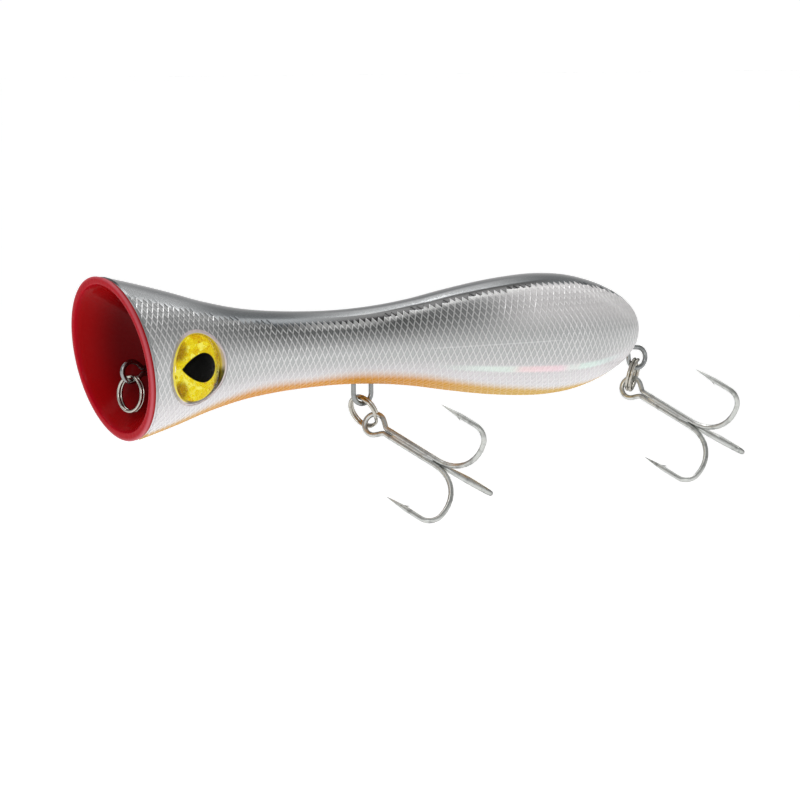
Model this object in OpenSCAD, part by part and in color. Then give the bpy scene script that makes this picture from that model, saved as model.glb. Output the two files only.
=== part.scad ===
// Topwater popper: a hollow two-shell lure body on one through wire, with a cupped
// face, domed eyes, split rings and two treble hooks.
// Millimetres. +Z is the back of the fish, +X runs to the tail, the fish's left is -Y.
// The origin is the middle of the line tie, the wire eye in the mouth.

/* [Body] */
// Wall thickness of the two body shells
shell_wall = 2; // [1.6:0.1:2.4]
// Lean of the mouth, top lip forward
mouth_lean = 9.5; // [0:0.5:14]
// Straight steps in each stretch of the body's outline
outline_steps = 2; // [2:1:4]

/* [Mouth cup] */
// Thickness of the lip that covers the front of the shells
lip_depth = 1.6; // [1.2:0.1:2.2]
// Wall thickness of the cup
cup_wall = 1.3; // [1.1:0.1:1.5]
// Radius of the cup where it meets the lip
cup_mouth_r = 23.4; // [22.8:0.1:23.8]

/* [Line tie and hangers] */
// Thickness of the through wire
wire_d = 1.6; // [1.4:0.1:1.7]
// Depth of the line tie behind the middle of the mouth
tie_depth = 7; // [6:0.5:8]
// Height of the body's axis above the line tie
axis_height = 3.2; // [2.8:0.1:3.6]
// Radius of the line tie, to the middle of the wire
tie_r = 3.1; // [3:0.05:3.3]
// Radius of the tail eye, to the middle of the wire
tail_eye_r = 3.6; // [3.4:0.05:3.8]

/* [Eyes] */
// Radius of each domed eye
eye_r = 10.3; // [9.5:0.1:10.4]
// Height of the clear dome above its rim
dome_rise = 3; // [2:0.1:3.4]

/* [Split rings] */
// Outer radius of each ring
ring_outer_r = 5.95; // [5.9:0.05:6]
// Thickness of the coil across the ring's face
ring_coil = 1; // [0.9:0.05:1]

/* [Treble hooks] */
// Thickness of the hook wire
hook_d = 1.65; // [1.4:0.05:1.65]
// Length from the middle of the hook's eye to the start of the bends
shank_length = 26.3; // [24:0.1:30]
// Radius of the bend next to the shank
bend_wide_r = 14.3; // [12:0.1:15]
// Radius of the bend next to the point
bend_tight_r = 4.5; // [4:0.1:6]
// Length from the bend to the tip of the point
point_length = 14.4; // [12:0.1:15]

/* [Ballast and rattle] */
// Radius of the tail weight
weight_r = 5; // [4:0.1:5.2]
// Length of the tail weight
weight_length = 24; // [16:1:24]
// Radius of each rattle ball
ball_r = 3.9; // [3.5:0.1:3.95]

/* [Hidden] */
$fn = 48;

gap = 0.05;                  // fit between pieces that touch
big = 400;

// Outline of the body: place along the axis, behind the middle of the mouth, and radius
stations = [
    [-6, 27.3], [0, 25.8], [10, 23.3], [20, 20.6], [32, 17.1], [46, 14.1], [62, 12.4],
    [80, 11.8], [96, 12.5], [110, 14.1], [124, 16.5], [138, 18.6], [150, 19.8], [160, 20.2],
    [170, 19.5], [179, 17.5], [187, 14.6], [193.5, 11], [198, 6.6], [200, 0]
];
// Hollow of the cup: depth behind the mouth's plane, radius
cup_stations = [[0, cup_mouth_r], [3, 21.3], [6, 18.9], [9, 16.1], [12, 12.6], [14.6, 8.4], [16.2, 4], [16.6, 0]];
rim_lift = 1.15;             // height of the rim's middle above the body's axis, along its plane

// Frame of the through wire, in the body's own axes
belly_leg_front = 87.6;
belly_leg_rear = 94.3;
hanger_drop = 19;            // from the body's axis to the bottom of the belly hanger
hanger_r = (belly_leg_rear - belly_leg_front) / 2;
wire_r = wire_d / 2;
leg_pitch = 0.86;            // each of two wires side by side is this far off their middle
wire_z = -axis_height + leg_pitch;
corner_r = 2.5;
tail_eye = [202.6, -10.7];   // x and z of the tail eye
tail_lean = 45;              // slope of the wire down to the tail eye

// Each ring: its middle, and the heading and rise of its axis
belly_ring_at = [92.28, 1.4, -21.75];
belly_ring_turn = [193, -23.9];
tail_ring_at = [201.26, 0.48, -16.52];
tail_ring_turn = [-49.6, -12.9];
nose_ring_at = [6.8, 0, -10.15];
nose_ring_turn = [193, 5];

// Each treble: the middle of its eye, and its roll, pitch and yaw
belly_hook_at = [94.89, -1.48, -26.07];
belly_hook_turn = [70, 24.4, -66];
tail_hook_at = [199.1, -1.85, -20.83];
tail_hook_turn = [72.5, 24.7, -68.4];
hook_r = hook_d / 2;
bundle_r = 1;                // each of the three shank wires is this far off the shank's axis

// Eyes
eye_x = 15.8;
eye_z = -1.3;
eye_lean = 12;
seat_y = 17.4;
foil_t = 0.5;
dome_edge = 1;

rib_t = 2;
rib_xs = [24, 44, 66, 84, 98, 176];
rattle_from = 112;
rattle_cell = 12;
rattle_web = 1.5;
rattle_z = 5.2;
rattle_r = 4.1;
ball_names = ["front", "middle", "rear"];
weight_x = 148;
weight_z = -9.6;
pin_r = 1.2;
pin_length = 3;
// Places of the locating pins: x, z
pin_spots = [[34, 8], [57, 6], [104, 8.2], [160, 13], [188, 3], [36, -9], [122, -11]];

// ---- curves ----
function spline(a, b, c, d, t) =
    0.5 * (2 * b + (c - a) * t + (2 * a - 5 * b + 4 * c - d) * t * t + (3 * b - a - 3 * c + d) * t * t * t);
function slope(a, b, c, d, t) =
    0.5 * ((c - a) + 2 * (2 * a - 5 * b + 4 * c - d) * t + 3 * (3 * b - a - 3 * c + d) * t * t);
function before(p) = 2 * p[0] - p[1];
function after(p) = [p[len(p) - 2][0], -p[len(p) - 2][1]];
function stretch(p, i) = [
    i > 0 ? p[i - 1] : before(p), p[i], p[i + 1], i < len(p) - 2 ? p[i + 2] : after(p)
];
// Points of a smooth outline through p, moved inwards by inset
function smooth_outline(p, inset) = concat(
    [for (i = [0 : len(p) - 2], j = [0 : outline_steps - 1])
        let (s = stretch(p, i), t = j / outline_steps,
             at = spline(s[0], s[1], s[2], s[3], t), way = slope(s[0], s[1], s[2], s[3], t))
        at + inset * [way[1], -way[0]] / norm(way)],
    [[p[len(p) - 1][0] - inset, 0]]
);

// ---- helpers ----
module body_axes() {
    translate([-tie_depth, 0, axis_height]) children();
}
// A solid turned about the body's axis from an outline of [x, radius]
module turned(outline, angle = 360) {
    points = concat([[0, outline[0][0]]], [for (p = outline) [p[1], p[0]]]);
    rotate([0, 90, 0]) rotate_extrude(angle = angle) polygon(points);
}
function body_outline(inset) = smooth_outline(stations, inset);
module behind_mouth(depth) {
    rotate([0, -mouth_lean, 0])
        translate([depth, -big / 2, -big / 2]) cube([big, big, big]);
}
module cup_axes() {
    rotate([0, -mouth_lean, 0]) translate([0, 0, rim_lift]) children();
}
module cup_outside(grow = 0) {
    outside = smooth_outline(cup_stations, -cup_wall - grow);
    cup_axes() {
        turned(outside);
        translate([15, 0, wire_z - leg_pitch - rim_lift]) rotate([0, 90, 0]) cylinder(r = 3.6 + grow, h = 4.4 + grow);
    }
}
module half_space(side) {
    translate([-big / 2, side > 0 ? 0 : -big, -big / 2]) cube(big);
}
module eye_axes(side) {
    mirror([0, side > 0 ? 1 : 0, 0])
        translate([eye_x, 0, eye_z]) rotate([0, 0, eye_lean]) rotate([90, 0, 0]) children();
}
module along_x(x, z, r, length) {
    translate([x, 0, z]) rotate([0, 90, 0]) cylinder(r = r, h = length);
}
module along_y(x, z, r, from, to) {
    translate([x, to, z]) rotate([90, 0, 0]) cylinder(r = r, h = to - from);
}

// ---- wire bending ----
// A wire is a list of steps: ["run", length], ["bend", radius, angle], left is positive,
// or ["roll", angle], which turns the plane of the bends that follow.
wire_sides = 10;
bend_step = 18;
function shifted(x, y, z = 0) = [[1, 0, 0, x], [0, 1, 0, y], [0, 0, 1, z], [0, 0, 0, 1]];
function headed(a) = [[cos(a), -sin(a), 0, 0], [sin(a), cos(a), 0, 0], [0, 0, 1, 0], [0, 0, 0, 1]];
function rolled(a) = [[1, 0, 0, 0], [0, cos(a), -sin(a), 0], [0, sin(a), cos(a), 0], [0, 0, 0, 1]];
function part_way(m, s, f) =
    s[0] == "run" ? m * shifted(s[1] * f, 0) :
    s[0] == "roll" ? m * rolled(s[1] * f) :
    m * shifted(0, sign(s[2]) * s[1]) * headed(s[2] * f) * shifted(0, -sign(s[2]) * s[1]);
function cuts(s) = s[0] == "bend" ? ceil(abs(s[2]) / bend_step) : s[0] == "run" ? 1 : 0;
// The frames along the steps, each with the roll so far
function frames(steps, m, i = 0, roll = 0) =
    i == len(steps) ? [] :
    let (s = steps[i], n = cuts(s), more = s[0] == "roll" ? s[1] : 0)
    concat(n == 0 ? [] : [for (j = [1 : n]) [part_way(m, s, j / n), roll]],
           frames(steps, part_way(m, s, 1), i + 1, roll + more));
function ring_of(frame, r) = [
    for (j = [0 : wire_sides - 1])
        let (a = 360 * j / wire_sides - frame[1], p = frame[0] * [0, r * cos(a), r * sin(a), 1])
        [p[0], p[1], p[2]]
];
// The rings of a wire that starts at frame m; its last ring has the radius tip
function wire_rings(steps, m, r, tip) =
    let (all = concat([[m, 0]], frames(steps, m)), last = len(all) - 1)
    [for (i = [0 : last]) ring_of(all[i], i == last ? tip : r)];
module tube(rings) {
    n = wire_sides;
    last = len(rings) - 1;
    polyhedron(
        points = [for (ring = rings, p = ring) p],
        faces = concat(
            [[for (j = [0 : n - 1]) j]],
            [for (i = [0 : last - 1], j = [0 : n - 1])
                [i * n + j, (i + 1) * n + j, (i + 1) * n + (j + 1) % n, i * n + (j + 1) % n]],
            [[for (j = [n - 1 : -1 : 0]) last * n + j]]
        )
    );
}
// A closed eye at the end of two wires side by side: their flare, the run to the eye, the eye
eye_flare = 40;
flare_r = 1.6;
function eye_side(radius, offset) =
    (radius * cos(eye_flare) - offset - flare_r * (1 - cos(eye_flare))) / sin(eye_flare);
function eye_reach(radius, offset) =
    flare_r * sin(eye_flare) + eye_side(radius, offset) * cos(eye_flare) + radius * sin(eye_flare);
function eye_steps(radius, offset) = [
    ["bend", flare_r, eye_flare], ["run", eye_side(radius, offset)],
    ["bend", radius, -180 - 2 * eye_flare],
    ["run", eye_side(radius, offset)], ["bend", flare_r, eye_flare]
];

// ---- body shells ----
module ribs() {
    track_end = rattle_from + 3 * rattle_cell + 2 * rattle_web;
    for (x = concat(rib_xs, [rattle_from - rib_t, track_end])) along_x(x, 0, 30, rib_t);
}
module rattle_track() {
    length = 3 * rattle_cell + 4 * rattle_web;
    along_x(rattle_from - rattle_web, rattle_z, rattle_r + 1.2, length);
}
module rattle_cells() {
    for (i = [0 : 2]) along_x(rattle_from + i * (rattle_cell + rattle_web), rattle_z, rattle_r, rattle_cell);
}
module weight_cradle() {
    for (x = [weight_x - rib_t, weight_x + 4, weight_x + weight_length - 6, weight_x + weight_length])
        translate([x, -big / 2, -big / 2]) cube([rib_t, big, big / 2 - 3.6]);
}
module wire_space() {
    r = wire_r + gap;
    along_x(10, wire_z, r, 186);
    along_x(10, wire_z - 2 * leg_pitch, r, 20);
    for (x = [belly_leg_front, belly_leg_rear])
        translate([x, 0, -40]) cylinder(r = r, h = 40 + wire_z);
    translate([belly_leg_front - corner_r, -r, wire_z - corner_r - r])
        cube([hanger_r * 2 + 2 * corner_r, 2 * r, corner_r + r]);
    translate([tail_eye[0], 0, tail_eye[1]]) rotate([0, -180 + tail_lean, 0])
        translate([0, -r, -leg_pitch - r]) cube([16, 2 * r, 2 * (leg_pitch + r)]);
}
module pin_bosses() {
    for (p = pin_spots) along_y(p[0], p[1], 2.8, -30, 30);
}
module body_shell(side) {
    body_axes() difference() {
        union() {
            difference() {
                turned(body_outline(0));
                turned(body_outline(shell_wall));
            }
            intersection() {
                turned(body_outline(shell_wall / 2));
                union() {
                    ribs();
                    rattle_track();
                    weight_cradle();
                    pin_bosses();
                }
            }
            intersection() {
                turned(body_outline(0));
                eye_axes(side) translate([0, 0, seat_y - 1.6]) cylinder(r = eye_r + 2.3, h = 20);
            }
        }
        half_space(-side);
        rotate([0, -mouth_lean, 0])
            translate([lip_depth + gap - big, -big / 2, -big / 2]) cube(big);
        cup_outside(gap);
        wire_space();
        rattle_cells();
        along_x(weight_x, weight_z, weight_r + gap, weight_length);
        eye_axes(side) translate([0, 0, seat_y]) cylinder(r = eye_r + 0.4, h = 20);
        if (side > 0)
            for (p = pin_spots) along_y(p[0], p[1], pin_r + gap, -1, pin_length + 0.3);
    }
    if (side < 0)
        body_axes() for (p = pin_spots) along_y(p[0], p[1], pin_r, -1, pin_length);
}
module body_shell_left() {
    color("silver") body_shell(-1);
}
module body_shell_right() {
    color("silver") body_shell(1);
}
module mouth_cup() {
    color("firebrick") body_axes() difference() {
        union() {
            difference() {
                intersection() {
                    turned(body_outline(0));
                    behind_mouth(0);
                }
                behind_mouth(lip_depth);
            }
            intersection() {
                cup_outside();
                behind_mouth(lip_depth / 2);
            }
        }
        cup_axes() turned(concat([[-3, cup_mouth_r + 2]], smooth_outline(cup_stations, 0)));
        for (z = [wire_z, wire_z - 2 * leg_pitch]) along_x(8, z, wire_r + gap, 20);
    }
}

// ---- through wire: line tie, belly hanger and tail eye, all in the plane y = 0 ----
tie_tag = 12;
tail_tag = 4;
module through_wire() {
    front = tie_depth + eye_reach(tie_r, leg_pitch);
    drop = wire_z - tail_eye[1];
    corner_x = tail_eye[0] + (leg_pitch - drop * cos(tail_lean)) / sin(tail_lean);
    set_back = corner_r * tan(tail_lean / 2);
    to_tail_eye = (tail_eye[0] - corner_x) * cos(tail_lean) + drop * sin(tail_lean)
        - set_back - eye_reach(tail_eye_r, leg_pitch);
    hanger_leg = hanger_drop + wire_z - corner_r - hanger_r;
    steps = concat(
        [["run", tie_tag]],
        eye_steps(tie_r, leg_pitch),
        [["run", belly_leg_front - corner_r - front],
         ["bend", corner_r, -90], ["run", hanger_leg],
         ["bend", hanger_r, 180],
         ["run", hanger_leg], ["bend", corner_r, -90],
         ["run", corner_x - set_back - belly_leg_rear - corner_r],
         ["bend", corner_r, -tail_lean], ["run", to_tail_eye]],
        eye_steps(tail_eye_r, leg_pitch),
        [["run", tail_tag]]
    );
    start = shifted(front + tie_tag, wire_z - 2 * leg_pitch) * headed(180);
    color("lightsteelblue") body_axes() rotate([90, 0, 0]) tube(wire_rings(steps, start, wire_r, wire_r));
}

// ---- eyes ----
module eye_foil(side) {
    color("gold") body_axes() eye_axes(side) translate([0, 0, seat_y]) cylinder(r = eye_r, h = foil_t);
}
module eye_dome(side) {
    ball = (eye_r * eye_r + dome_rise * dome_rise) / (2 * dome_rise);
    rim = seat_y + foil_t;
    color([1, 1, 0.9, 0.4]) body_axes() eye_axes(side) intersection() {
        translate([0, 0, rim]) cylinder(r = eye_r, h = dome_edge + dome_rise + 1);
        translate([0, 0, rim + dome_edge + dome_rise - ball]) sphere(r = ball, $fn = 96);
    }
}
module eye_foil_left() { eye_foil(-1); }
module eye_foil_right() { eye_foil(1); }
module eye_dome_left() { eye_dome(-1); }
module eye_dome_right() { eye_dome(1); }

// ---- split rings: two coils side by side with a groove between them ----
module split_ring(at, turn) {
    inner = ring_outer_r - ring_coil;
    half = 0.98;
    groove = 0.15;
    edge = 0.2;
    side = [[inner + groove, 0], [inner, groove], [inner, half - edge], [inner + edge, half],
            [ring_outer_r - edge, half], [ring_outer_r, half - edge], [ring_outer_r, groove]];
    other = [for (i = [len(side) - 1 : -1 : 1]) [side[i][0], -side[i][1]]];
    color("gray") body_axes() translate(at) rotate([0, 90 - turn[1], turn[0]])
        rotate_extrude() polygon(concat(side, [[ring_outer_r - groove, 0]], other));
}
module nose_split_ring() { split_ring(nose_ring_at, nose_ring_turn); }
module belly_split_ring() { split_ring(belly_ring_at, belly_ring_turn); }
module tail_split_ring() { split_ring(tail_ring_at, tail_ring_turn); }

// ---- treble hooks: a double hook with the eye, and a single hook in its groove ----
module hook_axes(at, turn) {
    body_axes() translate(at) rotate(turn) children();
}
tip_r = 0.12;
taper = 7;
barb_from_tip = 6.6;
// From the end of the shank round the bend to the tip
point_steps = [
    ["bend", bend_wide_r, 90], ["bend", bend_tight_r, 90],
    ["run", point_length - taper], ["run", taper]
];
hook_eye_r = 3.5;
pair_y = bundle_r * sin(60);
pair_z = bundle_r * cos(60);
hook_neck = eye_reach(hook_eye_r, pair_y);
// Half of the double hook, from the front of its eye to one tip
function half_hook() = wire_rings(
    concat(
        [["bend", hook_eye_r, -90 - eye_flare], ["run", eye_side(hook_eye_r, pair_y)],
         ["bend", flare_r, eye_flare], ["roll", 30], ["run", shank_length - hook_neck]],
        point_steps),
    shifted(-hook_eye_r, 0, pair_z) * headed(90), hook_r, tip_r);
function other_side(rings) = [
    for (i = [len(rings) - 1 : -1 : 1]) [for (p = rings[i]) [p[0], -p[1], p[2]]]
];
module barb(angle) {
    leg_end = shank_length + bend_wide_r - bend_tight_r - point_length + barb_from_tip;
    rotate([angle, 0, 0]) translate([leg_end, bundle_r + bend_wide_r + bend_tight_r, 0])
        translate([0, 0, -0.3]) linear_extrude(0.6) polygon([[0, -0.3], [1.9, -1.5], [1.2, -0.3]]);
}
module double_hook(at, turn) {
    half = half_hook();
    color("lightgray") hook_axes(at, turn) {
        tube(concat(other_side(half), half));
        barb(30);
        barb(150);
    }
}
single_start = 7.4;
module single_hook(at, turn) {
    steps = concat([["run", shank_length - single_start]], point_steps);
    color("silver") hook_axes(at, turn) {
        rotate([-90, 0, 0]) tube(wire_rings(steps, shifted(single_start, bundle_r), hook_r, tip_r));
        barb(-90);
    }
}
module hook_braze(at, turn) {
    braze_r = 1.77;
    color("darkgray") hook_axes(at, turn) difference() {
        translate([single_start + 1, 0, 0]) rotate([0, 90, 0]) cylinder(r = braze_r, h = 16, $fn = 3);
        for (a = [30, 150, -90]) rotate([a, 0, 0]) translate([0, bundle_r, 0]) rotate([0, 90, 0])
            cylinder(r = hook_r + 0.02, h = 60);
    }
}
module belly_double_hook() { double_hook(belly_hook_at, belly_hook_turn); }
module belly_single_hook() { single_hook(belly_hook_at, belly_hook_turn); }
module belly_hook_braze() { hook_braze(belly_hook_at, belly_hook_turn); }
module tail_double_hook() { double_hook(tail_hook_at, tail_hook_turn); }
module tail_single_hook() { single_hook(tail_hook_at, tail_hook_turn); }
module tail_hook_braze() { hook_braze(tail_hook_at, tail_hook_turn); }

// ---- ballast and rattle ----
module tail_weight() {
    color("slategray") body_axes() along_x(weight_x + gap, weight_z, weight_r, weight_length - 2 * gap);
}
module rattle_ball(i) {
    color("dimgray") body_axes()
        translate([rattle_from + i * (rattle_cell + rattle_web) + rattle_cell / 2, 0, rattle_z]) sphere(r = ball_r);
}
module rattle_ball_front() { rattle_ball(0); }
module rattle_ball_middle() { rattle_ball(1); }
module rattle_ball_rear() { rattle_ball(2); }

body_shell_left();
body_shell_right();
mouth_cup();
through_wire();
eye_foil_left();
eye_foil_right();
eye_dome_left();
eye_dome_right();
nose_split_ring();
belly_split_ring();
tail_split_ring();
belly_double_hook();
belly_single_hook();
belly_hook_braze();
tail_double_hook();
tail_single_hook();
tail_hook_braze();
tail_weight();
rattle_ball_front();
rattle_ball_middle();
rattle_ball_rear();
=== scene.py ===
import math

import bmesh
import bpy
from mathutils import Matrix, Vector


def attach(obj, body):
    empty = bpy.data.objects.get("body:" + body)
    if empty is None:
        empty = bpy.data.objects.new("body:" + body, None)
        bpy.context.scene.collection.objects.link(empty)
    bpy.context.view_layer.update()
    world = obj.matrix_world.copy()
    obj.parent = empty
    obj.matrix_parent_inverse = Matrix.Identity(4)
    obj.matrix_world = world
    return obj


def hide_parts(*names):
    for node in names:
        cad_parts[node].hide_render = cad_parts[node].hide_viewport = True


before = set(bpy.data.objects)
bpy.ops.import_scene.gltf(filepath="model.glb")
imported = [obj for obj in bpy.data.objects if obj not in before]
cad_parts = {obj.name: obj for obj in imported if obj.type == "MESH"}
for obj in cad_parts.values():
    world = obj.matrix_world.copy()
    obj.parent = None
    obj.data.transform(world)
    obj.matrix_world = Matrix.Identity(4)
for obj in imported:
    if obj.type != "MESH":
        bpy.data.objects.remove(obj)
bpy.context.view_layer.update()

# ---- Viewpoint ----
# A long lens about a metre away, a little above the lure and ahead of its left side,
# so that the mouth, the left flank and both trebles show.
VIEW_DISTANCE = 0.9597
VIEW_ROLL = -0.28
aim = Vector((0.0985, 0.0, -0.0156))
away = Vector((-0.5334, -0.8374, 0.1189))
bpy.ops.object.select_all(action="DESELECT")
turned = away.to_track_quat("Z", "Y").to_euler()
bpy.ops.object.camera_add(location=aim + VIEW_DISTANCE * away, rotation=turned)
viewpoint = bpy.context.object
viewpoint.rotation_euler.rotate_axis("Z", math.radians(VIEW_ROLL))
viewpoint.data.lens = 131.6
viewpoint.data.sensor_width = 36
viewpoint.data.clip_start = 0.01
bpy.context.scene.camera = viewpoint
bpy.context.scene.view_settings.view_transform = "Standard"

# ---- Foil skins of the body ----
# Each half of the hollow body carries a hot-stamped foil skin, pressed with a net of
# diamond scales on the flank and left smooth on the back, then painted and clear coated.
# It is modelled flat, as length along the outline by height round the body, and wrapped on.
MM = 0.001
BODY_TO_ROW = Matrix.Scale(MM, 4) @ Matrix.Translation((-7, 0, 3.2))
MOUTH_LEAN = math.radians(9.5)
LIP_DEPTH = 1.6
BODY_LENGTH = 200
body_line = [
    (-6, 27.3), (0, 25.8), (10, 23.3), (20, 20.6), (32, 17.1), (46, 14.1), (62, 12.4),
    (80, 11.8), (96, 12.5), (110, 14.1), (124, 16.5), (138, 18.6), (150, 19.8), (160, 20.2),
    (170, 19.5), (179, 17.5), (187, 14.6), (193.5, 11), (198, 6.6), (200, 0),
]


def smooth_line(points, per_stretch):
    """A smooth line through the points; the last one lies on the axis and mirrors the one before."""
    first = (2 * points[0][0] - points[1][0], 2 * points[0][1] - points[1][1])
    last = (points[-2][0], -points[-2][1])
    run = [Vector(p) for p in [first, *points, last]]
    line = []
    for a, b, c, d in zip(run, run[1:], run[2:], run[3:]):
        for step in range(per_stretch):
            t = step / per_stretch
            square = (2 * a - 5 * b + 4 * c - d) * t**2
            cube = (3 * b - a - 3 * c + d) * t**3
            line.append(0.5 * (2 * b + (c - a) * t + square + cube))
    return line + [run[-2]]


def between(points, x):
    """The value at x on straight stretches between the points."""
    for (x0, y0), (x1, y1) in zip(points, points[1:]):
        if x <= x1:
            return y0 + (y1 - y0) * max(0.0, (x - x0) / (x1 - x0))
    return points[-1][1]


outline = smooth_line(body_line, 12)
lengths = [0.0]
for p, q in zip(outline, outline[1:]):
    lengths.append(lengths[-1] + (q - p).length)


def on_outline(length):
    """The place and radius that far along the outline, and the way out from it."""
    low, high = 1, len(lengths) - 1
    while low < high:
        middle = (low + high) // 2
        low, high = (middle + 1, high) if lengths[middle] < length else (low, middle)
    i = low
    p, q = outline[i - 1], outline[i]
    part = (length - lengths[i - 1]) / (lengths[i] - lengths[i - 1])
    way = (q - p).normalized()
    return p + (q - p) * min(1.0, part), Vector((-way.y, way.x))


def pick(kind, test):
    """Select only the faces, edges or verts that pass the test, on the mesh being edited."""
    bpy.ops.mesh.select_mode(type={"faces": "FACE", "edges": "EDGE", "verts": "VERT"}[kind])
    bpy.ops.mesh.select_all(action="DESELECT")
    mesh = bmesh.from_edit_mesh(bpy.context.object.data)
    for part in getattr(mesh, kind):
        if test(part):
            part.select_set(True)
    mesh.select_flush_mode()
    bmesh.update_edit_mesh(bpy.context.object.data)


def edit_mode(on=True):
    bpy.ops.object.mode_set(mode="EDIT" if on else "OBJECT")


def apply_modifier(piece, kind, **settings):
    bpy.context.view_layer.objects.active = piece
    bpy.ops.object.modifier_add(type=kind)
    modifier = piece.modifiers[-1]
    for name, value in settings.items():
        setattr(modifier, name, value)
    bpy.ops.object.modifier_apply(modifier=modifier.name)


def start_piece():
    bpy.ops.object.select_all(action="DESELECT")
    bpy.context.view_layer.objects.active = None


def select_only(piece):
    bpy.ops.object.select_all(action="DESELECT")
    piece.select_set(True)
    bpy.context.view_layer.objects.active = piece


def smooth(piece, degrees=40):
    select_only(piece)
    bpy.ops.object.shade_smooth_by_angle(angle=math.radians(degrees))


SCALE_LENGTH = 2.25
SCALE_HEIGHT = 4.4
SCALE_ROWS = 20
SCALE_DEPTH = 0.2
RIDGE_HALF = 0.12
SKIN_PROUD = 0.3
SKIN_WALL = 0.45
SKIN_GAP = 0.06
SKIN_BEHIND_LIP = 0.9
POCKET_R = 11.7
# Half width of the smooth back, along the body
back_edge = [
    (-10, 15.5), (12, 14), (26, 11.8), (40, 10), (50, 9), (70, 8.1), (90, 8), (105, 7.5), (122, 8.2),
    (140, 9.6), (150, 10), (163, 9.8), (175, 9), (187, 7), (195, 4), (200, 0),
]
# The eyes' own axes: x along the body, y up, z out of the left flank, which tapers by 12 degrees
EYE_AXES = Matrix.Translation((15.8, 0, -1.3)) @ Matrix.Rotation(math.radians(12), 4, "Z")
EYE_AXES = EYE_AXES @ Matrix.Rotation(math.radians(90), 4, "X")


def flat_height(co):
    """How far round the body a place on the flat sheet lies, in degrees above the waterline."""
    spot, _ = on_outline(min(co.x, lengths[-1]))
    return math.degrees(co.y / max(spot.y, 0.5)), spot


columns = int(lengths[-1] / SCALE_LENGTH)
start_piece()
bpy.ops.mesh.primitive_grid_add(x_subdivisions=columns, y_subdivisions=SCALE_ROWS, size=2)
skin = bpy.context.object
skin.name = "foil_skin_left"
for vertex in skin.data.vertices:
    vertex.co.x = (vertex.co.x + 1) / 2 * columns * SCALE_LENGTH
    vertex.co.y = vertex.co.y / 2 * SCALE_ROWS * SCALE_HEIGHT


def squared(edge):
    """True on the grid's own edges, which go once each square is cut across its diagonals."""
    run = edge.verts[0].co - edge.verts[1].co
    return not edge.is_boundary and min(abs(run.x), abs(run.y)) < 0.01


edit_mode()
bpy.ops.mesh.select_all(action="SELECT")
bpy.ops.mesh.poke()
pick("edges", squared)
bpy.ops.mesh.dissolve_edges(use_verts=False)


def off_the_body(face):
    """True where the sheet would reach past the tail's end or well round the far side."""
    tail_end = lengths[-1] - 1.5
    turns = [abs(flat_height(vertex.co)[0]) for vertex in face.verts]
    if any(vertex.co.x > tail_end for vertex in face.verts):
        return True
    return min(turns) >= 100 or max(turns) > 130


pick("faces", off_the_body)
bpy.ops.mesh.delete(type="FACE")


def on_the_back(face):
    angle, spot = flat_height(face.calc_center_median())
    return angle > 0 and spot.y * math.cos(math.radians(min(angle, 90))) < between(back_edge, spot.x)


pick("faces", lambda face: not on_the_back(face))
bpy.ops.mesh.inset(thickness=RIDGE_HALF, depth=0, use_individual=True)
bpy.ops.mesh.inset(thickness=RIDGE_HALF * 1.5, depth=-SCALE_DEPTH, use_individual=True)
bpy.ops.mesh.poke(offset=SCALE_DEPTH * 0.25)
pick("faces", on_the_back)
bpy.ops.mesh.poke()
bpy.ops.mesh.subdivide(number_cuts=1)
edit_mode(False)
# The smooth back, kept for the black paint
smooth_back = skin.data.attributes.new("smooth_back", "FLOAT", "FACE")
for face in skin.data.polygons:
    smooth_back.data[face.index].value = float(face.select)
for vertex in skin.data.vertices:
    spot, out = on_outline(vertex.co.x)
    angle = vertex.co.y / max(spot.y, 0.5)
    spot = spot + out * (SKIN_PROUD + vertex.co.z)
    vertex.co = (spot.x, -spot.y * math.cos(angle), spot.y * math.sin(angle))
edit_mode()
bpy.ops.mesh.select_all(action="SELECT")
bpy.ops.mesh.bisect(plane_co=(0, -SKIN_GAP, 0), plane_no=(0, 1, 0), clear_outer=True, threshold=0.001)
lean = Vector((math.cos(MOUTH_LEAN), 0, math.sin(MOUTH_LEAN)))
lip_back = LIP_DEPTH + SKIN_BEHIND_LIP
bpy.ops.mesh.select_all(action="SELECT")
bpy.ops.mesh.bisect(plane_co=lean * lip_back, plane_no=lean, clear_inner=True, threshold=0.001)
edit_mode(False)
apply_modifier(skin, "SOLIDIFY", thickness=SKIN_WALL, offset=-1, use_even_offset=False)
# The hole over the eye pocket
start_piece()
bpy.ops.mesh.primitive_cylinder_add(vertices=96, radius=POCKET_R, depth=30)
cutter = bpy.context.object
cutter.data.transform(EYE_AXES @ Matrix.Translation((0, 0, 20)))
select_only(skin)
apply_modifier(skin, "BOOLEAN", operation="DIFFERENCE", object=cutter, solver="EXACT")
bpy.data.objects.remove(cutter)

# How near each point lies to the top of the ridges, kept for the paint
ridge = skin.data.attributes.new("ridge", "FLOAT", "POINT")
height_at = [(p.x, p.y) for p in outline]
for i, vertex in enumerate(skin.data.vertices):
    proud = math.hypot(vertex.co.y, vertex.co.z) - between(height_at, vertex.co.x)
    ridge.data[i].value = max(0.0, min(1.0, 1 - (SKIN_PROUD - proud) / SCALE_DEPTH))

right = skin.copy()
right.data = skin.data.copy()
right.name = "foil_skin_right"
bpy.context.collection.objects.link(right)
right.data.transform(Matrix.Diagonal((1, -1, 1, 1)))
right.data.flip_normals()
for piece in (skin, right):
    piece.data.transform(BODY_TO_ROW)
    smooth(piece, 35)
    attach(piece, "lure_body")


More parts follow.
